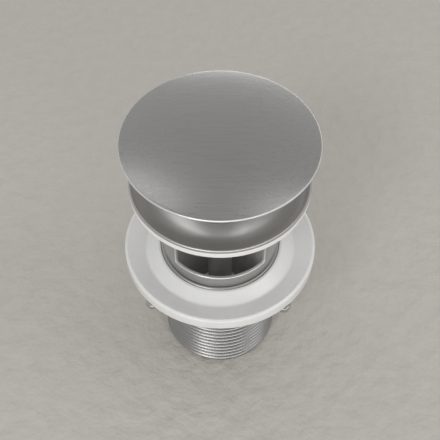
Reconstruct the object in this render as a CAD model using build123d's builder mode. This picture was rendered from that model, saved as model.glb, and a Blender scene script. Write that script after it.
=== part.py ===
from build123d import *
from math import atan2, cos, degrees, hypot, radians, sin, sqrt, tan
import os

# Sprung plug basin waste, in millimetres, +Z up, shown with the plug open.
# The origin is on the axis, at the underside of the flange seal: the face that sits on the basin.

# Thread and tail
thread_radius = 20.955  # crests of the G1 1/4 pipe thread
thread_pitch = 25.4 / 11
thread_depth = 1.479
thread_start = 30.9  # upper end of the thread below the seat
thread_lead = 0.4  # chamfer of the thread's upper end
relief_height = 0.5  # groove between the neck and the thread
relief_depth = 0.3
tail_depth = 82.5  # depth of the tail's end below the seat
tail_wall = 2.655
tail_end_chamfer = 1.0

# Neck and overflow slots
neck_inset = 0.755  # the plain neck lies this far inside the thread's crests
neck_wall = 1.0
neck_bore_overrun = 2.1  # the neck's wide bore runs on this far below the thread's upper end
slot_drop = 11.0  # top of the slots below the seat
slot_height = 14.7
slot_angle = 97.0  # turn that each slot takes round the neck, in degrees
slot_count = 2  # front and back

# Flange and throat
flange_radius = 29.75
flange_thickness = 1.25  # measured upright
flange_lift = 2.15  # underside of the rim above the seat
flange_edge = 0.5  # chamfer of the rim's upper edge
dish_rim_angle = 7.0  # fall of the dish at its rim, in degrees
dish_throat_angle = 26.0  # fall of the dish at the throat, in degrees
dish_bend_place = 0.475  # where the two falls meet, as a share of the way from the neck to the rim
dish_bend_spread = 0.95  # reach of the rounding between them, as a share of the way to the rim
throat_lip = 5.0  # the throat stands this far inside the neck's bore
throat_height = 2.1
throat_lip_fall = 1.5  # fall of the lip's underside towards the neck's bore
throat_fillet = 2.0

# Spider that carries the cartridge
spider_depth = 60.0  # its upper face below the seat
spider_thickness = 5.0
spider_arms = 3
spider_arm_width = 4.0
spider_boss_radius = 7.5
spider_root = 1.0  # how far the arms run into the tail's wall

# Flange seal
seal_edge = 0.5  # thickness at its inner edge

# Clamp washer, slip ring and backnut
clamp_drop = 35.8  # underside of the washer below the seat
washer_radius = 33.75
washer_gap = 0.1  # round the thread
washer_hub_height = 4.5
washer_hub_land = 0.6
washer_valley_radius = 26.4
washer_valley_height = 2.1
washer_rim_height = 4.75
washer_rim_width = 1.3
slip_ring_width = 5.8
slip_ring_thickness = 0.8
nut_thread_gap = 0.15
nut_wall = 5.9
nut_height = 8.0
nut_bore_chamfer = 0.7
lug_count = 4
lug_turn = 43.4  # direction of the first lug, in degrees
lug_reach = 7.25  # how far the lugs stand out of the nut's body
lug_width = 4.5
lug_height = 2.4
lug_corner = 2.0

# Plunger rod and its travel
rod_radius = 3.4
plug_stroke = 10.3
overtravel = 1.5  # pressed past the latch before it lets go
rod_gap = 0.15  # round the rod in the gland and the shank
rod_guide = 4.0  # length of rod inside the shank with the plug up

# Cartridge
gland_drop = 1.5  # top of the gland nut below the seat
gland_roof = 4.2
gland_hex = 17.0  # across flats
gland_hex_height = 5.0
gland_skirt_wall = 1.1
gland_skirt_length = 9.1
gland_sleeve_length = 8.3  # inside the barrel's head, below the roof
gland_sleeve_gap = 0.25
gland_thread_gap = 0.05
ring_width = 1.6
ring_height = 1.6
ring_depth = 1.5  # its groove below the top of the nut
ring_rod_gap = 0.12
head_radius = 7.25
head_wall = 1.5
head_floor = 1.5
collar_height = 5.5
collar_play = 0.25
pin_radius = 0.6
pin_count = 2
pin_tip_radius = 2.55
pin_rod_gap = 0.25  # from the collar's bore to the rod
shank_radius = 4.35
foot_radius = 6.0
foot_height = 2.5
bore_floor = 2.0
stud_radius = 3.95
stud_gap = 0.15
stud_overhang = 1.8
stud_chamfer = 0.6
lock_washer_radius = 7.2
lock_washer_thickness = 1.2
lock_nut_hex = 13.0  # across flats
lock_nut_height = 6.0
lock_nut_gap = 0.05

# Return spring
spring_turns = 6
spring_wire = 0.8
spring_gap = 0.2  # from the shank's bore

# Latch tracks in the rod
track_gap = 0.3  # each side of a pin
track_floor_gap = 0.65  # under a pin's tip
track_slack = 1.0  # below a pin with the plug up

# Plug
plug_seat_gap = 0.3  # seal above the dish with the plug down
lip_radius = 23.0
lip_width = 1.0
lip_drop = 0.9  # the lip's edge below the disc
lip_flare = 1.4  # height of the slant from the lip's edge to the seal's side
disc_thickness = 2.6
disc_radius = 20.5
plug_seal_grip = 1.7  # how far the seal reaches over the disc's edge
plug_seal_wall = 3.5  # the seal outside the disc's edge
plug_seal_cover = 0.8  # the seal above the disc's edge
seat_hex = 11.0  # the shoulder under the disc, across flats
plug_stud_radius = 2.9
plug_stud_gap = 0.1
plug_stud_length = 5.6  # in the cap
plug_hole_spare = 0.6
boss_radius = 8.0
boss_height = 4.35
cap_radius = 31.5
cap_rim = 0.45  # radius of the rolled rim
cap_rim_drop = 0.1  # middle of the rim below the underside of the cap
cap_rise = 4.5  # top of the dome above the middle of the rim
cap_recess_radius = 28.5

# Radii that follow
neck_radius = thread_radius - neck_inset
neck_bore = neck_radius - neck_wall
tail_bore = thread_radius - tail_wall
throat_radius = neck_bore - throat_lip
washer_hole = thread_radius + washer_gap
rod_bore = rod_radius + rod_gap
head_bore = head_radius - head_wall
sleeve_radius = head_bore - gland_sleeve_gap
skirt_bore = head_radius + gland_thread_gap
skirt_radius = skirt_bore + gland_skirt_wall
collar_radius = head_bore - gland_sleeve_gap
collar_bore = rod_radius + pin_rod_gap
stud_hole = stud_radius + stud_gap
plug_hole = plug_stud_radius + plug_stud_gap
rim_edge = flange_radius - flange_edge
dish_bend = neck_radius + dish_bend_place * (rim_edge - neck_radius)
rim_fall = radians(dish_rim_angle)
throat_fall = radians(dish_throat_angle)


def under_flange(radius):
    """Height of the flange's underside at a radius: two straight falls that meet at the bend."""
    outer_fall = tan(rim_fall) * (flange_radius - max(radius, dish_bend))
    inner_fall = tan(throat_fall) * max(0, dish_bend - radius)
    return flange_lift - outer_fall - inner_fall


def dish_height(radius):
    """Height of the dish's upper face at a radius, before its bend is rounded."""
    return under_flange(radius) + flange_thickness


# Lower end of the throat, and the radius at which the seal under the flange thins to its edge
throat_end = dish_height(throat_radius) - throat_height
seal_inner = dish_bend - (under_flange(dish_bend) - seal_edge) / tan(throat_fall)

# Rounding of the dish's bend, and the height of the rounded dish under the plug's lip
bend_reach = dish_bend_spread * (rim_edge - dish_bend)
bend_rounding = bend_reach / tan((throat_fall - rim_fall) / 2)
bend_centre = dish_bend + bend_reach * cos(rim_fall) + bend_rounding * sin(rim_fall)
bend_level = dish_height(dish_bend) + bend_reach * sin(rim_fall) - bend_rounding * cos(rim_fall)
lip_seat = bend_level + sqrt(bend_rounding**2 - (bend_centre - lip_radius) ** 2)

# Levels of the cartridge, from the gland down
gland_top = -gland_drop
roof_under = gland_top - gland_roof
skirt_end = roof_under - gland_skirt_length
sleeve_end = roof_under - gland_sleeve_length
collar_top = sleeve_end - collar_play
pin_level = collar_top - collar_height / 2
head_seat = collar_top - collar_height - collar_play
spider_top = -spider_depth
spider_under = spider_top - spider_thickness
lock_nut_top = spider_under - lock_washer_thickness
stud_end = lock_nut_top - lock_nut_height - stud_overhang
shank_floor = spider_top + bore_floor
rod_end = head_seat - rod_guide

# Levels of the plug, from the dish up
lip_edge = lip_seat + plug_seat_gap + plug_stroke
disc_under = lip_edge + lip_drop
disc_top = disc_under + disc_thickness
cap_under = disc_top + boss_height
rim_level = cap_under - cap_rim_drop
cap_top = rim_level + cap_rise
shoulder_under = gland_top + plug_stroke + overtravel + rod_gap

# Levels of the clamp, from the washer down
washer_under = -clamp_drop
nut_top = washer_under - slip_ring_thickness

# Thread: whole turns counted up from the chamfer at the tail's end
thread_end = -tail_depth + tail_end_chamfer
thread_turns = int((-thread_start - thread_lead - thread_end) / thread_pitch)
thread_root = thread_radius - thread_depth


def thread_section():
    """Crests and roots of the thread's rings, from the top down."""
    corners = []
    for turn in range(thread_turns, 0, -1):
        crest_level = thread_end + turn * thread_pitch
        corners.append((thread_radius, crest_level))
        corners.append((thread_root, crest_level - thread_pitch / 2))
    return corners


def half_section(*corners):
    """Half of a turned section: corners of radius, height and, where it is rounded, the rounding."""
    points = [corner[:2] for corner in corners]
    rounding = [corner[2] if len(corner) > 2 else 0 for corner in corners]
    with BuildSketch(Plane.XZ) as section:
        with BuildLine():
            FilletPolyline(*points, radius=rounding, close=True)
        make_face()
    return section.sketch


def outward(angle, height):
    """A plane that faces outward from the axis, with its own x to the left-hand turn and y upward."""
    across = (-sin(radians(angle)), cos(radians(angle)), 0)
    out = (cos(radians(angle)), sin(radians(angle)), 0)
    return Plane(origin=(0, 0, height), x_dir=across, z_dir=out)


os.makedirs("parts", exist_ok=True)

# Waste body: dished flange, neck and threaded tail turned in one
with BuildPart() as waste_body:
    relief_top = relief_height - thread_start
    revolve(
        half_section(
            (throat_radius, throat_end),
            (throat_radius, dish_height(throat_radius), throat_fillet),
            (dish_bend, dish_height(dish_bend), bend_rounding),
            (rim_edge, dish_height(rim_edge)),
            (flange_radius, dish_height(rim_edge) - flange_edge),
            (flange_radius, under_flange(flange_radius)),
            (dish_bend, under_flange(dish_bend)),
            (neck_radius, under_flange(neck_radius)),
            (neck_radius, relief_top),
            (neck_radius - relief_depth, relief_top),
            (neck_radius - relief_depth, -thread_start),
            (thread_radius - thread_lead, -thread_start),
            (thread_radius, -thread_start - thread_lead),
            *thread_section(),
            (thread_radius, thread_end),
            (thread_radius - tail_end_chamfer, -tail_depth),
            (tail_bore, -tail_depth),
            (tail_bore, -thread_start - neck_bore_overrun - (neck_bore - tail_bore)),
            (neck_bore, -thread_start - neck_bore_overrun),
            (neck_bore, throat_end - throat_lip_fall),
        ),
        axis=Axis.Z,
    )
    # Overflow slots through the neck's wall, with their sides along radii
    slot_reach = 2 * neck_radius
    slot_side = slot_reach * tan(radians(slot_angle / 2))
    with BuildSketch(Plane.XY.offset(-slot_drop)):
        with PolarLocations(0, slot_count, start_angle=90):
            Polygon((0, 0), (slot_reach, -slot_side), (slot_reach, slot_side), align=None)
    extrude(amount=-slot_height, mode=Mode.SUBTRACT)
    # Spider across the tail's bore
    with BuildSketch(Plane.XY.offset(spider_top)):
        Circle(spider_boss_radius)
        with PolarLocations(0, spider_arms, start_angle=90):
            Rectangle(tail_bore + spider_root, spider_arm_width, align=(Align.MIN, Align.CENTER))
        Circle(stud_hole, mode=Mode.SUBTRACT)
    extrude(amount=-spider_thickness)
waste_body.part.label = "waste_body"
export_step(waste_body.part, "parts/waste_body.step")

# Tapered seal between the flange and the basin
with BuildPart() as flange_seal:
    revolve(
        half_section(
            (seal_inner, 0),
            (flange_radius, 0),
            (flange_radius, under_flange(flange_radius)),
            (dish_bend, under_flange(dish_bend)),
            (seal_inner, seal_edge),
        ),
        axis=Axis.Z,
    )
flange_seal.part.label = "flange_seal"
export_step(flange_seal.part, "parts/flange_seal.step")

# Dished clamp washer, with a raised hub round the tail and a raised rim
with BuildPart() as clamp_washer:
    hub_top = washer_under + washer_hub_height
    rim_top = washer_under + washer_rim_height
    revolve(
        half_section(
            (washer_hole, washer_under),
            (washer_hole, hub_top),
            (washer_hole + washer_hub_land, hub_top),
            (washer_valley_radius, washer_under + washer_valley_height),
            (washer_radius - washer_rim_width, rim_top),
            (washer_radius, rim_top - washer_rim_width / 2),
            (washer_radius, washer_under),
        ),
        axis=Axis.Z,
    )
clamp_washer.part.label = "clamp_washer"
export_step(clamp_washer.part, "parts/clamp_washer.step")

# Thin ring that lets the backnut turn under the washer
with BuildPart() as slip_ring:
    with BuildSketch(Plane.XY.offset(washer_under)):
        Circle(washer_hole + slip_ring_width)
        Circle(washer_hole, mode=Mode.SUBTRACT)
    extrude(amount=-slip_ring_thickness)
slip_ring.part.label = "slip_ring"
export_step(slip_ring.part, "parts/slip_ring.step")

# Backnut with lugs for a spanner or a drift
with BuildPart() as backnut:
    nut_bore = thread_radius + nut_thread_gap
    nut_radius = nut_bore + nut_wall
    lug_radius = nut_radius + lug_reach
    with BuildSketch(Plane.XY.offset(nut_top)) as lugs:
        with PolarLocations(0, lug_count, start_angle=lug_turn):
            Rectangle(lug_radius + lug_width, lug_width, align=(Align.MIN, Align.CENTER))
        Circle(lug_radius, mode=Mode.INTERSECT)
        fillet(lugs.vertices().filter_by(lambda v: hypot(v.X, v.Y) > nut_radius), lug_corner)
    extrude(amount=-lug_height)
    with BuildSketch(Plane.XY.offset(nut_top)):
        Circle(nut_radius)
    extrude(amount=-nut_height)
    revolve(
        half_section(
            (0, nut_top),
            (nut_bore + nut_bore_chamfer, nut_top),
            (nut_bore, nut_top - nut_bore_chamfer),
            (nut_bore, nut_top - nut_height + nut_bore_chamfer),
            (nut_bore + nut_bore_chamfer, nut_top - nut_height),
            (0, nut_top - nut_height),
        ),
        axis=Axis.Z,
        mode=Mode.SUBTRACT,
    )
backnut.part.label = "backnut"
export_step(backnut.part, "parts/backnut.step")

# Cartridge barrel: wide head for the cam collar, slim shank for the spring, stud through the spider
with BuildPart() as cartridge_barrel:
    revolve(
        half_section(
            (rod_bore, head_seat),
            (head_bore, head_seat),
            (head_bore, roof_under),
            (head_radius, roof_under),
            (head_radius, head_seat - head_floor),
            (shank_radius, head_seat - head_floor - (head_radius - shank_radius)),
            (shank_radius, spider_top + foot_height),
            (foot_radius, spider_top + foot_height),
            (foot_radius, spider_top),
            (stud_radius, spider_top),
            (stud_radius, stud_end + stud_chamfer),
            (stud_radius - stud_chamfer, stud_end),
            (0, stud_end),
            (0, shank_floor),
            (rod_bore, shank_floor),
        ),
        axis=Axis.Z,
    )
cartridge_barrel.part.label = "cartridge_barrel"
export_step(cartridge_barrel.part, "parts/cartridge_barrel.step")

# Gland nut: skirt screwed over the barrel's head, inner sleeve that guides the rod
groove_top = gland_top - ring_depth
groove_under = groove_top - ring_height
groove_radius = rod_radius + ring_rod_gap + ring_width
with BuildPart() as gland_nut:
    revolve(
        half_section(
            (rod_bore, gland_top),
            (skirt_radius, gland_top),
            (skirt_radius, skirt_end),
            (skirt_bore, skirt_end),
            (skirt_bore, roof_under),
            (sleeve_radius, roof_under),
            (sleeve_radius, sleeve_end),
            (rod_bore, sleeve_end),
            (rod_bore, groove_under),
            (groove_radius, groove_under),
            (groove_radius, groove_top),
            (rod_bore, groove_top),
        ),
        axis=Axis.Z,
    )
    with BuildSketch(Plane.XY.offset(gland_top)):
        RegularPolygon(gland_hex / 2, 6, major_radius=False)
        Circle(skirt_bore, mode=Mode.SUBTRACT)
    extrude(amount=-gland_hex_height)
gland_nut.part.label = "gland_nut"
export_step(gland_nut.part, "parts/gland_nut.step")

# Rubber ring in the gland nut's groove
with BuildPart() as gland_ring:
    with BuildSketch(Plane.XY.offset(groove_top)):
        Circle(groove_radius)
        Circle(groove_radius - ring_width, mode=Mode.SUBTRACT)
    extrude(amount=-ring_height)
gland_ring.part.label = "gland_ring"
export_step(gland_ring.part, "parts/gland_ring.step")

# Lock washer and lock nut on the stud, under the spider
with BuildPart() as lock_washer:
    with BuildSketch(Plane.XY.offset(spider_under)):
        Circle(lock_washer_radius)
        Circle(stud_hole, mode=Mode.SUBTRACT)
    extrude(amount=-lock_washer_thickness)
lock_washer.part.label = "lock_washer"
export_step(lock_washer.part, "parts/lock_washer.step")

with BuildPart() as lock_nut:
    with BuildSketch(Plane.XY.offset(lock_nut_top)):
        RegularPolygon(lock_nut_hex / 2, 6, major_radius=False)
        Circle(stud_radius + lock_nut_gap, mode=Mode.SUBTRACT)
    extrude(amount=-lock_nut_height)
lock_nut.part.label = "lock_nut"
export_step(lock_nut.part, "parts/lock_nut.step")

# Cam collar: free to turn on its seat in the barrel's head, with pins that reach into the rod's tracks
with BuildPart() as cam_collar:
    with BuildSketch(Plane.XY.offset(collar_top)):
        Circle(collar_radius)
        Circle(collar_bore, mode=Mode.SUBTRACT)
    extrude(amount=-collar_height)
    for pin in range(pin_count):
        with BuildSketch(outward(pin * 360 / pin_count, pin_level).offset(pin_tip_radius)):
            Circle(pin_radius)
        extrude(amount=(collar_bore + collar_radius) / 2 - pin_tip_radius)
cam_collar.part.label = "cam_collar"
export_step(cam_collar.part, "parts/cam_collar.step")

# Return spring, between the shank's floor and the end of the rod
with BuildPart() as return_spring:
    coil_radius = rod_bore - spring_gap - spring_wire / 2
    coil_height = rod_end - shank_floor - spring_wire
    with BuildLine() as coil:
        Helix(
            pitch=coil_height / spring_turns,
            height=coil_height,
            radius=coil_radius,
            center=(0, 0, shank_floor + spring_wire / 2),
        )
    with BuildSketch(Plane(origin=coil.line @ 0, z_dir=coil.line % 0)):
        Rectangle(spring_wire, spring_wire)
    sweep(is_frenet=True)
return_spring.part.label = "return_spring"
export_step(return_spring.part, "parts/return_spring.step")

# Plunger: stud for the cap, hexagonal shoulder under the disc, rod with the latch tracks
track_width = 2 * (pin_radius + track_gap)
track_floor = pin_tip_radius - track_floor_gap
track_radius = (rod_radius + pin_tip_radius) / 2
track_turn = 90 / pin_count  # turn of the collar in one stroke
latch_turn = 180 / pin_count  # from the open rest to the latch
track_rate = track_turn / plug_stroke  # degrees of turn for each millimetre of travel
latch_level = pin_level + plug_stroke
track_end = latch_level + overtravel


def track(start_angle, start_level, end_angle, end_level):
    """One straight run of track between two places of a pin's centre, given on the rod."""
    half_turn = radians(end_angle - start_angle) / 2
    run = 2 * track_radius * sin(half_turn)
    rise = end_level - start_level
    middle = outward((start_angle + end_angle) / 2, (start_level + end_level) / 2)
    with BuildSketch(middle.offset(track_floor)) as run_sketch:
        Rectangle(hypot(run, rise) + track_width, track_width, rotation=degrees(atan2(rise, run)))
    return run_sketch.sketch


with BuildPart() as plunger:
    revolve(
        half_section(
            (0, rod_end),
            (rod_radius, rod_end),
            (rod_radius, disc_under),
            (plug_stud_radius, disc_under),
            (plug_stud_radius, disc_top + plug_stud_length),
            (0, disc_top + plug_stud_length),
        ),
        axis=Axis.Z,
    )
    with BuildSketch(Plane.XY.offset(shoulder_under)):
        RegularPolygon(seat_hex / 2, 6, major_radius=False)
    extrude(amount=disc_under - shoulder_under)
    for pin in range(pin_count):
        rest = pin * 360 / pin_count
        low = pin_level - track_slack
        early = rest - track_rate * track_slack
        late = rest + track_turn + track_rate * overtravel
        latch = rest + latch_turn
        next_late = 2 * latch - late
        next_early = 2 * latch - early
        runs = (
            track(early, low, late, track_end),
            track(late, track_end, latch, latch_level),
            track(latch, latch_level, next_late, track_end),
            track(next_late, track_end, next_early, low),
        )
        for run_face in runs:
            extrude(run_face, amount=2 * rod_radius, mode=Mode.SUBTRACT)
plunger.part.label = "plunger"
export_step(plunger.part, "parts/plunger.step")

# Disc that carries the plug's seal
with BuildPart() as plug_disc:
    with BuildSketch(Plane.XY.offset(disc_under)):
        Circle(disc_radius)
        Circle(plug_hole, mode=Mode.SUBTRACT)
    extrude(amount=disc_thickness)
plug_disc.part.label = "plug_disc"
export_step(plug_disc.part, "parts/plug_disc.step")

# Silicone seal, gripping the disc's edge, with a lip that closes on the dish
with BuildPart() as plug_seal:
    grip_radius = disc_radius - plug_seal_grip
    plug_seal_radius = disc_radius + plug_seal_wall
    revolve(
        half_section(
            (grip_radius, disc_under),
            (lip_radius - lip_width, lip_edge),
            (lip_radius, lip_edge),
            (plug_seal_radius, lip_edge + lip_flare),
            (plug_seal_radius, disc_top),
            (disc_radius, disc_top + plug_seal_cover),
            (grip_radius, disc_top),
            (disc_radius, disc_top),
            (disc_radius, disc_under),
        ),
        axis=Axis.Z,
    )
plug_seal.part.label = "plug_seal"
export_step(plug_seal.part, "parts/plug_seal.step")

# Mushroom cap: shallow dome running into a rolled rim, hollow underside and a tapped boss
with BuildPart() as plug_cap:
    rim_centre = cap_radius - cap_rim
    dome_radius = (rim_centre**2 + cap_rise**2 - cap_rim**2) / (2 * (cap_rise - cap_rim))
    rim_slope = atan2(rim_centre, dome_radius - cap_rise)
    dome_edge = (dome_radius * sin(rim_slope), cap_top - dome_radius * (1 - cos(rim_slope)))
    rim_under = rim_level - cap_rim
    with BuildSketch(Plane.XZ):
        with BuildLine():
            RadiusArc((0, cap_top), dome_edge, dome_radius)
            CenterArc((rim_centre, rim_level), cap_rim, 0, 90 - degrees(rim_slope))
            Polyline(
                (cap_radius, rim_level),
                (cap_radius, rim_under),
                (cap_recess_radius, rim_under),
                (cap_recess_radius, cap_under),
                (boss_radius, cap_under),
                (boss_radius, disc_top),
                (plug_hole, disc_top),
                (plug_hole, disc_top + plug_stud_length + plug_hole_spare),
                (0, disc_top + plug_stud_length + plug_hole_spare),
                (0, cap_top),
            )
        make_face()
    revolve(axis=Axis.Z)
plug_cap.part.label = "plug_cap"
export_step(plug_cap.part, "parts/plug_cap.step")
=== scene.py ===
import math

import bmesh
import bpy
from mathutils import Matrix, Vector


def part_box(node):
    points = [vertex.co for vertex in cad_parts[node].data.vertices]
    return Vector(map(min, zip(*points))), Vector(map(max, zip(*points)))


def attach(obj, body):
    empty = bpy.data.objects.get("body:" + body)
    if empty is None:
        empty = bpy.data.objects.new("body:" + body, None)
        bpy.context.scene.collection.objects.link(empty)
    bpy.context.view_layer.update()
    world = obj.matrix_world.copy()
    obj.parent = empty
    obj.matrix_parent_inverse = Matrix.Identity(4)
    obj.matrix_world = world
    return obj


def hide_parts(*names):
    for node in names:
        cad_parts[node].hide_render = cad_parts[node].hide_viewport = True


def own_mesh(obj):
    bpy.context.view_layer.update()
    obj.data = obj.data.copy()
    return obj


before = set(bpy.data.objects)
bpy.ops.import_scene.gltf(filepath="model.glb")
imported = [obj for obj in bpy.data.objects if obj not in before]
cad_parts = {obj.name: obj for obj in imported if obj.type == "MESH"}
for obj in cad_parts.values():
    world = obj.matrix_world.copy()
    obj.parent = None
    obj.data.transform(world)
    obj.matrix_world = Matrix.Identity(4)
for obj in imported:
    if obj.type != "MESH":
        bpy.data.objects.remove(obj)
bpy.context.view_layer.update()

MM = 0.001
COLUMNS = 192  # columns round a turned piece
ARC_STEPS = 8  # steps in a rounded corner
CORNER_STEPS = 8  # steps in a block's upright edges
EDGE_STEPS = 3  # steps in a block's other edges
ROUND_PROFILE = 0.5  # makes a bevel round
SHARP_ANGLE = 38  # degrees; a sharper edge isn't shaded smooth
CORNER_ANGLE = math.radians(60)  # an edge that turns further is rounded off
WELD = 1e-7  # points closer than this are one
NEAR = 1e-6  # tolerance for radii, heights and angles
LEVEL = 1e-9  # an edge whose ends differ less in height is level

# Sizes read from the frame
cap_low, cap_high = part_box("plug_cap")
body_low, body_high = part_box("waste_body")
seal_low, seal_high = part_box("flange_seal")
washer_low, washer_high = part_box("clamp_washer")
nut_low, nut_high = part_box("backnut")
barrel_low, barrel_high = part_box("cartridge_barrel")
disc_low, disc_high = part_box("plug_disc")
plug_seal_low, plug_seal_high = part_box("plug_seal")
spring_low, spring_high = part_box("return_spring")
spider_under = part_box("lock_washer")[1].z
rim_radius = body_high.x
tail_end = body_low.z

# G1 1/4 thread on the tail
PITCH = 25.4 * MM / 11
CREST = 20.955 * MM
THREAD_DEPTH = 1.479 * MM
THREAD_TOP = -30.9 * MM
THREAD_LEAD = 0.4 * MM  # chamfer of the thread's upper end
THREAD_START = THREAD_TOP - THREAD_LEAD
THREAD_RUN_OUT = 1.7 * MM
RELIEF_HEIGHT = 0.5 * MM  # groove between the neck and the thread
RELIEF_DEPTH = 0.3 * MM
THREAD_ROUND = 1 / 3  # share of a flank that is rounded at either end
THREAD_ROWS = 12  # rows of points in one pitch
ROOT_SHADE_DEPTH = 0.65 * MM  # painted shade: the thread is coloured near black below this depth
TAIL_CHAMFER = 1.0 * MM

# Body
NECK = 20.2 * MM
NECK_BORE = 19.2 * MM
NECK_BORE_END = -33.0 * MM
TAIL_BORE = 18.3 * MM
THROAT = 14.2 * MM
THROAT_HEIGHT = 2.1 * MM
THROAT_LIP_FALL = 1.5 * MM
THROAT_FILLET = 2.0 * MM
THROAT_LIP_EDGE = 0.4 * MM
FLANGE_THICKNESS = 1.25 * MM
RIM_EDGE = 0.5 * MM
RIM_UNDER_EDGE = 0.15 * MM
DISH_RIM_FALL = math.tan(math.radians(7))
DISH_THROAT_FALL = math.tan(math.radians(26))
DISH_BEND = 24.5 * MM  # radius where the two falls meet
DISH_BEND_ROUNDING = 26.9 * MM
SEAL_EDGE = 0.5 * MM  # thickness at the seal's inner edge
SEAL_FOOT_ROUNDING = 0.3 * MM
SEAL_RIM_ROUNDING = 0.2 * MM
SLOT_TOP = -11.0 * MM
SLOT_BOTTOM = -25.7 * MM
SLOT_HALF_ANGLE = math.radians(48.5)
SLOT_MIDDLES = (math.pi / 2, 3 * math.pi / 2)
SLOT_EDGE = 0.25 * MM
SLOT_EDGE_STEPS = 2
NECK_FACING = 0.95  # a face that points outward more than this is the neck's own
BODY_SHARP_ANGLE = 50
SPIDER_THICKNESS = 5.0 * MM
SPIDER_TOP = spider_under + SPIDER_THICKNESS
SPIDER_BOSS = 7.5 * MM
SPIDER_HOLE = 4.1 * MM
SPIDER_ARM = 4.0 * MM
SPIDER_ARMS = 3
SPIDER_TURN = math.pi / 2  # where the first arm points
SPIDER_EDGE = 0.5 * MM

# Clamp
WASHER_GAP = 0.1 * MM
WASHER_HOLE_EDGE = 0.3 * MM
HUB_HEIGHT = 4.5 * MM
HUB_LAND = 0.9 * MM
HUB_INNER_EDGE = 0.25 * MM
HUB_SHOULDER = 0.9 * MM
VALLEY_RADIUS = 26.4 * MM
VALLEY_HEIGHT = 2.1 * MM
VALLEY_ROUNDING = 1.4 * MM
WASHER_RIM_WIDTH = 0.9 * MM
WASHER_RIM_CROWN = 0.6 * MM
WASHER_RIM_EDGE = 0.5 * MM
NUT_GAP = 0.15 * MM
NUT_BORE = CREST + NUT_GAP
NUT_EDGE = 0.5 * MM
LUG_COUNT = 4
LUG_TURN = math.radians(43.4)
LUG_TIP = 34.25 * MM
LUG_WIDTH = 4.5 * MM
LUG_HEIGHT = 2.4 * MM
LUG_CORNER = 1.9 * MM

# Plug and cartridge
CAP_RIM = 0.45 * MM  # radius of the rolled rim
CAP_RIM_DROP = 0.1 * MM
CAP_RIM_STEPS = 14
DOME_STEPS = 40
CAP_RECESS = 28.5 * MM
CAP_RECESS_EDGE = 0.25 * MM
CAP_RECESS_FILLET = 0.4 * MM
BOSS_RADIUS = 8.0 * MM
BOSS_HEIGHT = 4.35 * MM
BOSS_FILLET = 0.8 * MM
BOSS_EDGE = 0.3 * MM
LIP_RADIUS = 23.0 * MM
LIP_WIDTH = 1.0 * MM
LIP_FLARE = 1.4 * MM
LIP_EDGE = 0.3 * MM
SEAL_GRIP = 1.7 * MM
SEAL_GRIP_EDGE = 0.15 * MM
SEAL_COVER = 0.8 * MM
SEAL_COVER_EDGE = 0.4 * MM
SEAL_SHOULDER = 0.5 * MM
HEAD_END = -21.5 * MM
HEAD_FILLET = 0.8 * MM
BARREL_EDGE = 0.3 * MM
SHANK = 4.35 * MM
FOOT = 6.0 * MM
FOOT_HEIGHT = 2.5 * MM
FOOT_FILLET = 0.6 * MM
STUD = 3.95 * MM
STUD_EDGE = 0.6 * MM
BARREL_BORE = 3.55 * MM
BARREL_FLOOR = spring_low.z
HEAD_BORE = 5.75 * MM
HEAD_SEAT = -20.0 * MM
SPRING_WIRE = 0.8 * MM
SPRING_TURNS = 6
SPRING_STEPS = 48  # steps in one turn
SPRING_SIDES = 10  # sides of the wire


# Shapes


def rounded(corners):
    """Points of a section given as corners of radius, height and rounding."""
    points = []
    count = len(corners)
    for i, (r, z, rounding) in enumerate(corners):
        here = Vector((r, z))
        if rounding == 0:
            points.append(here)
            continue
        before = (Vector(corners[i - 1][:2]) - here).normalized()
        after = (Vector(corners[(i + 1) % count][:2]) - here).normalized()
        half = before.angle(after) / 2
        centre = here + (before + after).normalized() * (rounding / math.sin(half))
        start = here + before * (rounding / math.tan(half)) - centre
        end = here + after * (rounding / math.tan(half)) - centre
        first = math.atan2(start.y, start.x)
        sweep = math.remainder(math.atan2(end.y, end.x) - first, 2 * math.pi)
        for step in range(ARC_STEPS + 1):
            angle = first + sweep * step / ARC_STEPS
            points.append(centre + rounding * Vector((math.cos(angle), math.sin(angle))))
    return points


def new_object(name, data):
    item = bpy.data.objects.new(name, data)
    bpy.context.scene.collection.objects.link(item)
    return item


def from_points(name, vertices, faces):
    mesh = bpy.data.meshes.new(name)
    mesh.from_pydata(vertices, [], faces)
    return new_object(name, mesh)


def from_work(name, work):
    """An object made of the geometry that was worked on."""
    mesh = bpy.data.meshes.new(name)
    work.to_mesh(mesh)
    work.free()
    return new_object(name, mesh)


def clean(item, sharp_angle=SHARP_ANGLE):
    """Weld, turn the normals outward and shade smooth up to the sharp angle."""
    work = bmesh.new()
    work.from_mesh(item.data)
    bmesh.ops.remove_doubles(work, verts=work.verts, dist=WELD)
    bmesh.ops.dissolve_degenerate(work, edges=work.edges, dist=WELD / 10)
    bmesh.ops.recalc_face_normals(work, faces=work.faces)
    work.to_mesh(item.data)
    work.free()
    item.data.shade_smooth()
    item.data.set_sharp_from_angle(angle=math.radians(sharp_angle))
    return item


def ring_points(radius, z, angles):
    return [(radius * math.cos(a), radius * math.sin(a), z) for a in angles]


def even_angles():
    return [2 * math.pi * j / COLUMNS for j in range(COLUMNS)]


def strip(low, high, count=COLUMNS):
    """Faces between two rings of points."""
    return [(low + j, low + (j + 1) % count, high + (j + 1) % count, high + j) for j in range(count)]


def lathe(name, section, closed=True):
    """A turned piece: the section goes once round the axis."""
    vertices = []
    for point in section:
        vertices += ring_points(point.x, point.y, even_angles())
    rows = len(section)
    faces = []
    for i in range(rows if closed else rows - 1):
        faces += strip(i * COLUMNS, (i + 1) % rows * COLUMNS)
    return clean(from_points(name, vertices, faces))


def bevel(work, edges, width, steps):
    bmesh.ops.bevel(work, geom=edges, offset=width, segments=steps, profile=ROUND_PROFILE, affect="EDGES")


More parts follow.
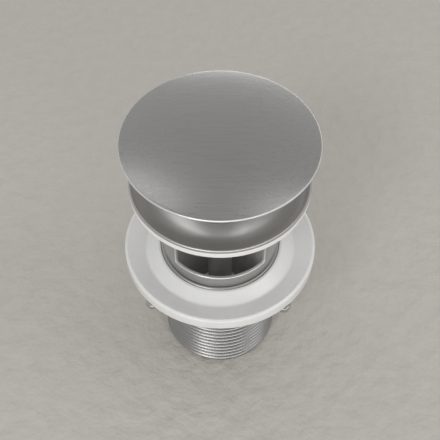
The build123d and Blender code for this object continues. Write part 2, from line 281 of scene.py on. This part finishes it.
def block(name, low, high, corner, edge):
    """A block between two corners, with its upright edges rounded to corner and the others to edge."""
    work = bmesh.new()
    size = Vector(high) - Vector(low)
    middle = (Vector(high) + Vector(low)) / 2
    bmesh.ops.create_cube(work, size=1, matrix=Matrix.Translation(middle) @ Matrix.Diagonal((*size, 1)))
    if corner:
        upright = [e for e in work.edges if abs(e.verts[0].co.z - e.verts[1].co.z) > edge]
        bevel(work, upright, corner, CORNER_STEPS)
    flat = [e for e in work.edges if abs(e.verts[0].co.z - e.verts[1].co.z) < LEVEL]
    outline = [e for e in flat if e.calc_face_angle(0) > CORNER_ANGLE]
    bevel(work, outline, edge, EDGE_STEPS)
    return clean(from_work(name, work))


def spun(item, angle):
    item.data.transform(Matrix.Rotation(angle, 4, "Z"))
    return item


def joined(name, items):
    """Several meshes as one object."""
    work = bmesh.new()
    for item in items:
        work.from_mesh(item.data)
        bpy.data.objects.remove(item)
    return clean(from_work(name, work))


def dress(piece, body, node, slot, *materials):
    """Give a piece its materials and the body it moves with, and hide the solid it stands for."""
    for material in materials:
        piece.data.materials.append(material)
    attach(piece, body)
    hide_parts(node)
    return piece


# Materials

TURNED_GRAIN = (1.5, 2500, 2500)  # noise per radian, and per metre outward and upward
STRAIGHT_GRAIN = (45, 2500, 2500)  # noise per metre
NOISE_LOW, NOISE_HIGH = 0.3, 0.7  # the range that most of the noise keeps to
BRUSH_DEPTH = 0.02 * MM
MOULD_DEPTH = 0.05 * MM
METAL_UNEVENNESS = 0.04  # of the roughness, either way
PLASTIC_UNEVENNESS = 0.02
COAT_ROUGHNESS = 0.18


def new_material(name):
    material = bpy.data.materials.new(name)
    material.use_nodes = True
    tree = material.node_tree
    return material, tree.nodes, tree.links, tree.nodes["Principled BSDF"]


def turned_place(nodes, links, place):
    """Place as angle, radius and height, so that noise runs round the axis."""
    split = nodes.new("ShaderNodeSeparateXYZ")
    links.new(place, split.inputs[0])
    angle = nodes.new("ShaderNodeMath")
    angle.operation = "ARCTAN2"
    links.new(split.outputs["Y"], angle.inputs[0])
    links.new(split.outputs["X"], angle.inputs[1])
    flat = nodes.new("ShaderNodeVectorMath")
    flat.operation = "MULTIPLY"
    flat.inputs[1].default_value = (1, 1, 0)
    links.new(place, flat.inputs[0])
    radius = nodes.new("ShaderNodeVectorMath")
    radius.operation = "LENGTH"
    links.new(flat.outputs["Vector"], radius.inputs[0])
    join = nodes.new("ShaderNodeCombineXYZ")
    links.new(angle.outputs[0], join.inputs["X"])
    links.new(radius.outputs["Value"], join.inputs["Y"])
    links.new(split.outputs["Z"], join.inputs["Z"])
    return join.outputs[0]


def noise(nodes, links, scale, turned=False, detail=3.0):
    """Noise over the piece, with its own scale along each axis."""
    place = nodes.new("ShaderNodeTexCoord").outputs["Object"]
    if turned:
        place = turned_place(nodes, links, place)
    mapping = nodes.new("ShaderNodeMapping")
    mapping.inputs["Scale"].default_value = scale
    links.new(place, mapping.inputs["Vector"])
    texture = nodes.new("ShaderNodeTexNoise")
    texture.inputs["Scale"].default_value = 1.0
    texture.inputs["Detail"].default_value = detail
    links.new(mapping.outputs["Vector"], texture.inputs["Vector"])
    return texture.outputs["Fac"]


def spread(nodes, links, value, low, high):
    """Map noise from its middle range to low and high."""
    span = nodes.new("ShaderNodeMapRange")
    span.inputs["From Min"].default_value = NOISE_LOW
    span.inputs["From Max"].default_value = NOISE_HIGH
    span.inputs["To Min"].default_value = low
    span.inputs["To Max"].default_value = high
    links.new(value, span.inputs["Value"])
    return span.outputs["Result"]


def tint(nodes, links, value, colour, share):
    """The colour, darker and lighter by a share of itself."""
    mix = nodes.new("ShaderNodeMix")
    mix.data_type = "RGBA"
    mix.inputs["A"].default_value = (*[c * (1 - share) for c in colour], 1)
    mix.inputs["B"].default_value = (*[min(1, c * (1 + share)) for c in colour], 1)
    links.new(spread(nodes, links, value, 0, 1), mix.inputs["Factor"])
    return mix.outputs["Result"]


def relief(nodes, links, value, strength, depth):
    bump = nodes.new("ShaderNodeBump")
    bump.inputs["Strength"].default_value = strength
    bump.inputs["Distance"].default_value = depth
    links.new(value, bump.inputs["Height"])
    return bump.outputs["Normal"]


def metal(name, colour, roughness, turned=True, streak=0.06, bump=0.05, anisotropy=0.4, metallic=1.0):
    """Brushed metal: streaks run round the axis if turned, else straight along X."""
    material, nodes, links, shader = new_material(name)
    streaks = noise(nodes, links, TURNED_GRAIN if turned else STRAIGHT_GRAIN, turned)
    links.new(tint(nodes, links, streaks, colour, streak), shader.inputs["Base Color"])
    rough = spread(nodes, links, streaks, roughness - METAL_UNEVENNESS, roughness + METAL_UNEVENNESS)
    links.new(rough, shader.inputs["Roughness"])
    links.new(relief(nodes, links, streaks, bump, BRUSH_DEPTH), shader.inputs["Normal"])
    shader.inputs["Metallic"].default_value = metallic
    shader.inputs["Anisotropic"].default_value = anisotropy
    tangent = nodes.new("ShaderNodeTangent")
    if turned:
        tangent.direction_type = "RADIAL"
        tangent.axis = "Z"
    else:
        tangent.direction_type = "UV_MAP"
        tangent.uv_map = "brushing"
    links.new(tangent.outputs["Tangent"], shader.inputs["Tangent"])
    return material


def moulded(name, colour, roughness, coat=0.0, mottle=0.015, grain=400, bump=0.01, depth=MOULD_DEPTH):
    """Plastic, rubber or plaster, with some unevenness in colour, gloss and height."""
    material, nodes, links, shader = new_material(name)
    cloud = noise(nodes, links, (grain, grain, grain), detail=4.0)
    links.new(tint(nodes, links, cloud, colour, mottle), shader.inputs["Base Color"])
    rough = spread(nodes, links, cloud, roughness - PLASTIC_UNEVENNESS, roughness + PLASTIC_UNEVENNESS)
    links.new(rough, shader.inputs["Roughness"])
    links.new(relief(nodes, links, cloud, bump, depth), shader.inputs["Normal"])
    shader.inputs["Coat Weight"].default_value = coat
    shader.inputs["Coat Roughness"].default_value = COAT_ROUGHNESS
    return material


cap_metal = metal(
    "brushed_cap", (0.46, 0.453, 0.437), 0.30, turned=False, streak=0.03, bump=0.015, anisotropy=0.3
)
# Painted light: a lighter copy of the body's metal for the flange's dish under the cap
lit_dish_metal = metal("brushed_dish_painted_light", (0.60, 0.592, 0.575), 0.36)
neck_metal = metal("turned_neck", (0.42, 0.415, 0.40), 0.38)
# Painted shade: darker copies of the body's metal on the thread, near black in its roots
shaded_thread_metal = metal("cut_thread_painted_shade", (0.36, 0.356, 0.345), 0.32, anisotropy=0.0)
root_shade_metal = metal("thread_root_painted_shade", (0.11, 0.108, 0.10), 0.42, anisotropy=0.0)
# Painted light: a whitish, non-metal copy of the body's metal that brightens the body's inside
lit_bore_metal = metal("cast_bore_painted_light", (0.88, 0.875, 0.86), 0.55, anisotropy=0.0, metallic=0.0)
# Painted highlight: a lighter, partly non-metal copy of the metal for the cap's rim and the slots' edges
highlight_edge_metal = metal("bright_edge_painted_highlight", (0.78, 0.78, 0.76), 0.32, anisotropy=0.0, metallic=0.7)
nut_metal = metal("plated_nut", (0.55, 0.54, 0.52), 0.26, anisotropy=0.2)
steel = metal("plain_steel", (0.50, 0.50, 0.49), 0.32, anisotropy=0.3)
dark_chrome = metal("dark_chrome", (0.6, 0.6, 0.6), 0.36, anisotropy=0.1, metallic=0.85)
white_plastic = moulded("white_gloss", (0.86, 0.855, 0.835), 0.30, coat=0.8)
white_rubber = moulded("white_rubber", (0.90, 0.89, 0.87), 0.42)
natural_plastic = moulded("natural_plastic", (0.80, 0.79, 0.77), 0.45)
silicone = moulded("silicone", (0.80, 0.79, 0.77), 0.38)
black_rubber = moulded("black_rubber", (0.03, 0.03, 0.03), 0.6, mottle=0.15)


# Cap: shallow dome running into a rolled rim


def cap_section():
    cap_under = cap_low.z + BOSS_HEIGHT
    rim_level = cap_under - CAP_RIM_DROP
    rim_under = rim_level - CAP_RIM
    rise = cap_high.z - rim_level
    rim_centre = cap_high.x - CAP_RIM
    dome = (rim_centre**2 + rise**2 - CAP_RIM**2) / (2 * (rise - CAP_RIM))
    slope = math.atan2(rim_centre, dome - rise)
    points = []
    for step in range(DOME_STEPS + 1):
        angle = slope * step / DOME_STEPS
        points.append(Vector((dome * math.sin(angle), cap_high.z - dome * (1 - math.cos(angle)))))
    rim = Vector((rim_centre, rim_level))
    for step in range(1, CAP_RIM_STEPS + 1):
        angle = math.pi / 2 - slope - (math.pi - slope) * step / CAP_RIM_STEPS
        points.append(rim + CAP_RIM * Vector((math.cos(angle), math.sin(angle))))
    under = rounded([
        (rim_centre, rim_under, 0),
        (CAP_RECESS, rim_under, CAP_RECESS_EDGE),
        (CAP_RECESS, cap_under, CAP_RECESS_FILLET),
        (BOSS_RADIUS, cap_under, BOSS_FILLET),
        (BOSS_RADIUS, cap_low.z, BOSS_EDGE),
        (0, cap_low.z, 0),
    ])
    return points + under[1:]


cap = lathe("cap", cap_section(), closed=False)
brushing = cap.data.uv_layers.new(name="brushing")
for loop in cap.data.loops:
    place = cap.data.vertices[loop.vertex_index].co
    brushing.data[loop.index].uv = (place.x / cap_high.x, place.y / cap_high.x)
# the rolled rim takes the painted highlight
cap_metals = (cap_metal, highlight_edge_metal)
for face in cap.data.polygons:
    at_rim = math.hypot(face.center.x, face.center.y) > cap_high.x - CAP_RIM
    face.material_index = cap_metals.index(highlight_edge_metal if at_rim else cap_metal)
dress(cap, "plug", "plug_cap", "brushed_metal", *cap_metals)


# Seal on the plug's disc


def plug_seal_section():
    lip_end = plug_seal_low.z
    outer = plug_seal_high.x
    disc_radius = disc_high.x
    return rounded([
        (disc_radius - SEAL_GRIP, disc_low.z, SEAL_GRIP_EDGE),
        (LIP_RADIUS - LIP_WIDTH, lip_end, LIP_EDGE),
        (LIP_RADIUS, lip_end, LIP_EDGE),
        (outer, lip_end + LIP_FLARE, SEAL_SHOULDER),
        (outer, disc_high.z, SEAL_SHOULDER),
        (disc_radius, disc_high.z + SEAL_COVER, SEAL_COVER_EDGE),
        (disc_radius - SEAL_GRIP, disc_high.z, 0),
        (disc_radius, disc_high.z, 0),
        (disc_radius, disc_low.z, 0),
    ])


dress(lathe("plug_ring", plug_seal_section()), "plug", "plug_seal", "clear_silicone", silicone)


# Body: flange, neck with its slots, and the tail with its helical thread


def body_angles():
    """Angles of the body's columns, with some moved onto the slots' sides."""
    angles = even_angles()
    for middle in SLOT_MIDDLES:
        for side in (middle - SLOT_HALF_ANGLE, middle + SLOT_HALF_ANGLE):
            nearest = min(range(COLUMNS), key=lambda j: abs(angles[j] - side))
            angles[nearest] = side
    return angles


def in_slot(angle):
    return any(abs(angle - middle) < SLOT_HALF_ANGLE - NEAR for middle in SLOT_MIDDLES)


def under_flange(radius):
    """Height of the flange's underside: a slight fall from the rim to the bend, then a steeper one."""
    outer_fall = DISH_RIM_FALL * (rim_radius - max(radius, DISH_BEND))
    inner_fall = DISH_THROAT_FALL * max(0, DISH_BEND - radius)
    return seal_high.z - outer_fall - inner_fall


def dish_height(radius):
    return under_flange(radius) + FLANGE_THICKNESS


def body_section():
    """From the tail's bore up through the throat, over the flange and down the neck to the thread."""
    throat_end = dish_height(THROAT) - THROAT_HEIGHT
    relief_top = THREAD_TOP + RELIEF_HEIGHT
    relief_radius = NECK - RELIEF_DEPTH
    return rounded([
        (TAIL_BORE, tail_end, 0),
        (TAIL_BORE, NECK_BORE_END - (NECK_BORE - TAIL_BORE), 0),
        (NECK_BORE, NECK_BORE_END, 0),
        (NECK_BORE, SLOT_BOTTOM, 0),
        (NECK_BORE, SLOT_TOP, 0),
        (NECK_BORE, throat_end - THROAT_LIP_FALL, 0),
        (THROAT, throat_end, THROAT_LIP_EDGE),
        (THROAT, dish_height(THROAT), THROAT_FILLET),
        (DISH_BEND, dish_height(DISH_BEND), DISH_BEND_ROUNDING),
        (rim_radius, dish_height(rim_radius), RIM_EDGE),
        (rim_radius, under_flange(rim_radius), RIM_UNDER_EDGE),
        (DISH_BEND, under_flange(DISH_BEND), 0),
        (NECK, under_flange(NECK), 0),
        (NECK, SLOT_TOP, 0),
        (NECK, SLOT_BOTTOM, 0),
        (NECK, relief_top, 0),
        (relief_radius, relief_top, 0),
        (relief_radius, THREAD_TOP, 0),
        (CREST - THREAD_LEAD, THREAD_TOP, 0),
        (CREST, THREAD_START, 0),
    ])


def thread_radius(angle, z):
    """Radius of the thread's surface, rounded at crest and root, with a run-out at its start."""
    phase = (z - THREAD_START) / PITCH - angle / (2 * math.pi)
    way = 2 * abs(math.remainder(phase, 1))  # 0 on the crest and 1 at the root
    steepness = 1 / (1 - THREAD_ROUND)
    bend = steepness / (2 * THREAD_ROUND)
    if way < THREAD_ROUND:
        share = bend * way**2
    elif way > 1 - THREAD_ROUND:
        share = 1 - bend * (1 - way) ** 2
    else:
        share = steepness * (way - THREAD_ROUND / 2)  # straight flank
    fade = min(1, (THREAD_START - z) / THREAD_RUN_OUT)
    radius = CREST - fade * THREAD_DEPTH * share
    return min(radius, CREST - TAIL_CHAMFER + (z - tail_end))


def thread_rows(angles):
    """Rows of points that follow the helix, kept between the thread's two ends."""
    turns = math.ceil((THREAD_START - tail_end) / PITCH) + 1
    rows = []
    for k in range(turns * THREAD_ROWS + 1):
        row = []
        for angle in angles:
            z = THREAD_START + PITCH * (angle / (2 * math.pi) - k / THREAD_ROWS)
            z = min(THREAD_START, max(tail_end, z))
            radius = thread_radius(angle, z)
            row.append((radius * math.cos(angle), radius * math.sin(angle), z))
        rows.append(row)
    return rows


def body_mesh():
    angles = body_angles()
    section = body_section()
    vertices = []
    for point in section:
        vertices += ring_points(point.x, point.y, angles)
    first = len(vertices)
    rows = thread_rows(angles)
    for row in rows:
        vertices += row

    def row_at(radius, z):
        wanted = Vector((radius, z))
        return next(i for i, point in enumerate(section) if (point - wanted).length < WELD)

    inner_low, inner_high = row_at(NECK_BORE, SLOT_BOTTOM), row_at(NECK_BORE, SLOT_TOP)
    outer_high, outer_low = row_at(NECK, SLOT_TOP), row_at(NECK, SLOT_BOTTOM)
    middles = [a + math.pi / COLUMNS for a in angles]
    cut = [in_slot(a) for a in middles]
    faces = []
    for i in range(len(section) - 1):
        band = strip(i * COLUMNS, (i + 1) * COLUMNS)
        if i in (inner_low, outer_high):
            band = [face for face, is_cut in zip(band, cut) if not is_cut]
        faces += band
    # Walls of the slots
    for inner, outer in ((inner_low, outer_low), (inner_high, outer_high)):
        band = strip(inner * COLUMNS, outer * COLUMNS)
        faces += [face for face, is_cut in zip(band, cut) if is_cut]
    for j in range(COLUMNS):
        if cut[j] != cut[j - 1]:
            faces.append([row * COLUMNS + j for row in (inner_low, inner_high, outer_high, outer_low)])
    # Thread: where a turn closes, each row meets the row one pitch before it
    for k in range(len(rows) - 1):
        low, high = first + k * COLUMNS, first + (k + 1) * COLUMNS
        faces += strip(low, high)[:-1]
        near, far = (first + max(0, row - THREAD_ROWS) * COLUMNS for row in (k, k + 1))
        faces.append((low + COLUMNS - 1, near, far, high + COLUMNS - 1))
    faces += strip(first + (len(rows) - 1) * COLUMNS, 0)
    return from_points("body", vertices, [face for face in faces if len(set(face)) == 4])


def body_finish(face):
    """The metal of one of the body's faces."""
    middle = face.center
    radius = math.hypot(middle.x, middle.y)
    outward = (middle.x * face.normal.x + middle.y * face.normal.y) / radius
    beside_slot = SLOT_BOTTOM - SLOT_EDGE < middle.z < SLOT_TOP + SLOT_EDGE
    # the slots' sides and sill take the painted highlight
    if beside_slot and NECK_BORE < radius < NECK and abs(outward) < NECK_FACING:
        return highlight_edge_metal
    # the bore takes the painted light
    if radius < NECK_BORE + NEAR and middle.z < dish_height(THROAT):
        return lit_bore_metal
    if middle.z < THREAD_START and radius > TAIL_BORE + NEAR:
        # the thread and its roots take their painted shade
        return shaded_thread_metal if radius > CREST - ROOT_SHADE_DEPTH else root_shade_metal
    if middle.z < under_flange(NECK):
        return neck_metal
    return lit_dish_metal


def bevel_slots(item):
    """Round the outer edges of the slots."""
    work = bmesh.new()
    work.from_mesh(item.data)
    edges = []
    for edge in work.edges:
        radii = [math.hypot(v.co.x, v.co.y) for v in edge.verts]
        levels = [v.co.z for v in edge.verts]
        on_neck = min(radii) > NECK - NEAR and max(radii) < NECK + NEAR
        beside_slot = min(levels) > SLOT_BOTTOM - NEAR and max(levels) < SLOT_TOP + NEAR
        if on_neck and beside_slot and edge.calc_face_angle(0) > CORNER_ANGLE:
            edges.append(edge)
    bevel(work, edges, SLOT_EDGE, SLOT_EDGE_STEPS)
    work.to_mesh(item.data)
    work.free()


body = clean(body_mesh(), BODY_SHARP_ANGLE)
bevel_slots(body)
body_metals = (lit_dish_metal, lit_bore_metal, highlight_edge_metal, neck_metal, shaded_thread_metal, root_shade_metal)
for face in body.data.polygons:
    face.material_index = body_metals.index(body_finish(face))
dress(body, "waste", "waste_body", "brushed_metal", *body_metals)


# Spider that carries the cartridge


def spider():
    under = SPIDER_TOP - SPIDER_THICKNESS
    boss = lathe("spider_boss", rounded([
        (SPIDER_HOLE, under, 0),
        (SPIDER_BOSS, under, SPIDER_EDGE),
        (SPIDER_BOSS, SPIDER_TOP, SPIDER_EDGE),
        (SPIDER_HOLE, SPIDER_TOP, 0),
    ]))
    pieces = [boss]
    for arm in range(SPIDER_ARMS):
        low = (SPIDER_BOSS - 2 * SPIDER_EDGE, -SPIDER_ARM / 2, under)
        high = (TAIL_BORE + SPIDER_EDGE, SPIDER_ARM / 2, SPIDER_TOP)
        angle = SPIDER_TURN + 2 * math.pi * arm / SPIDER_ARMS
        pieces.append(spun(block("spider_arm", low, high, 0, SPIDER_EDGE), angle))
    return joined("spider", pieces)


# the spider takes the bore's painted light
dress(spider(), "waste", "waste_body", "brushed_metal", lit_bore_metal)


# Seal under the flange


def flange_seal_section():
    outer = seal_high.x
    inner = DISH_BEND - (under_flange(DISH_BEND) - SEAL_EDGE) / DISH_THROAT_FALL
    return rounded([
        (inner, seal_low.z, 0),
        (outer, seal_low.z, SEAL_FOOT_ROUNDING),
        (outer, seal_high.z, SEAL_RIM_ROUNDING),
        (DISH_BEND, under_flange(DISH_BEND), 0),
        (inner, SEAL_EDGE, 0),
    ])


dress(lathe("flange_ring", flange_seal_section()), "waste", "flange_seal", "white_rubber", white_rubber)


# Cartridge barrel: head, shank and stud


def barrel_section():
    head = barrel_high.x
    return rounded([
        (BARREL_BORE, HEAD_SEAT, 0),
        (HEAD_BORE, HEAD_SEAT, 0),
        (HEAD_BORE, barrel_high.z, BARREL_EDGE),
        (head, barrel_high.z, BARREL_EDGE),
        (head, HEAD_END, BARREL_EDGE),
        (SHANK, HEAD_END - (head - SHANK), HEAD_FILLET),
        (SHANK, SPIDER_TOP + FOOT_HEIGHT, FOOT_FILLET),
        (FOOT, SPIDER_TOP + FOOT_HEIGHT, BARREL_EDGE),
        (FOOT, SPIDER_TOP, 0),
        (STUD, SPIDER_TOP, 0),
        (STUD, barrel_low.z, STUD_EDGE),
        (0, barrel_low.z, 0),
        (0, BARREL_FLOOR, 0),
        (BARREL_BORE, BARREL_FLOOR, 0),
    ])


dress(lathe("barrel", barrel_section()), "waste", "cartridge_barrel", "dark_chrome", dark_chrome)


# Return spring, which shortens as the plug goes down


def spring_mesh():
    wire = SPRING_WIRE / 2
    coil = spring_high.x - wire
    low, high = spring_low.z + wire, spring_high.z - wire
    steps = SPRING_TURNS * SPRING_STEPS
    vertices = []
    for step in range(steps + 1):
        angle = 2 * math.pi * SPRING_TURNS * step / steps
        z = low + (high - low) * step / steps
        for side in range(SPRING_SIDES):
            turn = 2 * math.pi * side / SPRING_SIDES
            radius = coil + wire * math.cos(turn)
            vertices.append((radius * math.cos(angle), radius * math.sin(angle), z + wire * math.sin(turn)))
    last = steps * SPRING_SIDES
    faces = [tuple(range(SPRING_SIDES)), tuple(range(last, last + SPRING_SIDES))]
    for step in range(steps):
        faces += strip(step * SPRING_SIDES, (step + 1) * SPRING_SIDES, SPRING_SIDES)
    return clean(from_points("spring", vertices, faces))


spring = dress(spring_mesh(), "waste", "return_spring", "plain_steel", steel)
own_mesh(spring)


# Clamp washer: raised hub, valley and raised rim, moulded in gloss plastic


def washer_section():
    hole = CREST + WASHER_GAP
    under = washer_low.z
    outer = washer_high.x
    return rounded([
        (hole, under, WASHER_HOLE_EDGE),
        (hole, under + HUB_HEIGHT, HUB_INNER_EDGE),
        (hole + HUB_LAND, under + HUB_HEIGHT, HUB_SHOULDER),
        (VALLEY_RADIUS, under + VALLEY_HEIGHT, VALLEY_ROUNDING),
        (outer - WASHER_RIM_WIDTH, washer_high.z, WASHER_RIM_CROWN),
        (outer, washer_high.z - WASHER_RIM_WIDTH / 2, WASHER_RIM_EDGE),
        (outer, under, WASHER_RIM_EDGE),
    ])


dress(lathe("clamp_ring", washer_section()), "clamp", "clamp_washer", "white_plastic", white_plastic)


# Backnut with its lugs


def backnut():
    ring = lathe("nut_ring", rounded([
        (NUT_BORE, nut_low.z, NUT_EDGE),
        (nut_high.x, nut_low.z, NUT_EDGE),
        (nut_high.x, nut_high.z, NUT_EDGE),
        (NUT_BORE, nut_high.z, NUT_EDGE),
    ]))
    pieces = [ring]
    for lug in range(LUG_COUNT):
        low = (nut_high.x - LUG_WIDTH, -LUG_WIDTH / 2, nut_high.z - LUG_HEIGHT)
        high = (LUG_TIP, LUG_WIDTH / 2, nut_high.z)
        angle = LUG_TURN + 2 * math.pi * lug / LUG_COUNT
        pieces.append(spun(block("lug", low, high, LUG_CORNER, NUT_EDGE), angle))
    return joined("lugged_nut", pieces)


dress(backnut(), "nut", "backnut", "plated_nut", nut_metal)


# Pieces that keep their solid's own shape

NODE_FINISH = {
    "slip_ring": natural_plastic,
    "gland_nut": dark_chrome,
    "gland_ring": black_rubber,
    "lock_washer": steel,
    "lock_nut": steel,
    "cam_collar": natural_plastic,
    "plunger": steel,
    "plug_disc": natural_plastic,
}
for node, material in NODE_FINISH.items():
    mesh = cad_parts[node].data
    mesh.materials.clear()
    mesh.materials.append(material)


# Floor, camera and light

FLOOR_SIZE = 6.0
bpy.ops.mesh.primitive_plane_add(size=FLOOR_SIZE, location=(0, 0, tail_end))
floor = bpy.context.object
floor.name = "floor"
plaster = moulded("floor", (0.595, 0.565, 0.515), 0.75, mottle=0.02, grain=150, bump=1.0, depth=1.2 * MM)
floor.data.materials.append(plaster)

ELEVATION = math.radians(52.43)
DISTANCE = 291.7 * MM
AIM = Vector((0, 0, -19.6 * MM))
FOCAL_SHARE = 1.923  # focal length as a share of the picture's width
CLIP_START = 10 * MM

camera_data = bpy.data.cameras.new("camera")
camera = new_object("camera", camera_data)
away = Vector((0, -math.cos(ELEVATION), math.sin(ELEVATION)))
camera.location = AIM + away * DISTANCE
camera.rotation_euler = (-away).to_track_quat("-Z", "Y").to_euler()
camera_data.lens = FOCAL_SHARE * camera_data.sensor_width
camera_data.clip_start = CLIP_START
bpy.context.scene.camera = camera


LIGHT_DISTANCE = 1.2


def softbox(name, azimuth, elevation, size, radiance):
    """A rectangular light that faces the object; azimuth 0 is the front and turns to the right."""
    turn, rise = math.radians(azimuth), math.radians(elevation)
    way = Vector((math.sin(turn) * math.cos(rise), -math.cos(turn) * math.cos(rise), math.sin(rise)))
    data = bpy.data.lights.new(name, "AREA")
    data.shape = "RECTANGLE"
    data.size, data.size_y = size
    data.energy = radiance * size[0] * size[1] * math.pi
    light = new_object(name, data)
    light.location = AIM + way * LIGHT_DISTANCE
    light.rotation_euler = (-way).to_track_quat("-Z", "Y").to_euler()


softbox("key", azimuth=-30, elevation=42, size=(0.3, 0.3), radiance=8.0)
softbox("fill", azimuth=75, elevation=50, size=(0.5, 0.5), radiance=1.4)
softbox("front", azimuth=6, elevation=22, size=(1.6, 0.42), radiance=2.3)
softbox("left", azimuth=-130, elevation=58, size=(0.06, 0.6), radiance=2.5)
softbox("right", azimuth=120, elevation=66, size=(0.06, 0.4), radiance=2.5)
softbox("back", azimuth=163, elevation=6, size=(1.2, 0.26), radiance=1.7)

SKY_HORIZON = 0.62
SKY_ZENITH = 0.40
SKY_COLOUR = (0.98, 0.985, 1.0, 1)
world = bpy.data.worlds.new("studio")
world.use_nodes = True
world_nodes, world_links = world.node_tree.nodes, world.node_tree.links
sky_place = world_nodes.new("ShaderNodeTexCoord")
sky_split = world_nodes.new("ShaderNodeSeparateXYZ")
world_links.new(sky_place.outputs["Generated"], sky_split.inputs[0])
sky_range = world_nodes.new("ShaderNodeMapRange")
sky_range.inputs["To Min"].default_value = SKY_HORIZON
sky_range.inputs["To Max"].default_value = SKY_ZENITH
world_links.new(sky_split.outputs["Z"], sky_range.inputs["Value"])
world_links.new(sky_range.outputs["Result"], world_nodes["Background"].inputs["Strength"])
world_nodes["Background"].inputs["Color"].default_value = SKY_COLOUR
bpy.context.scene.world = world
bpy.context.scene.view_settings.view_transform = "Standard"
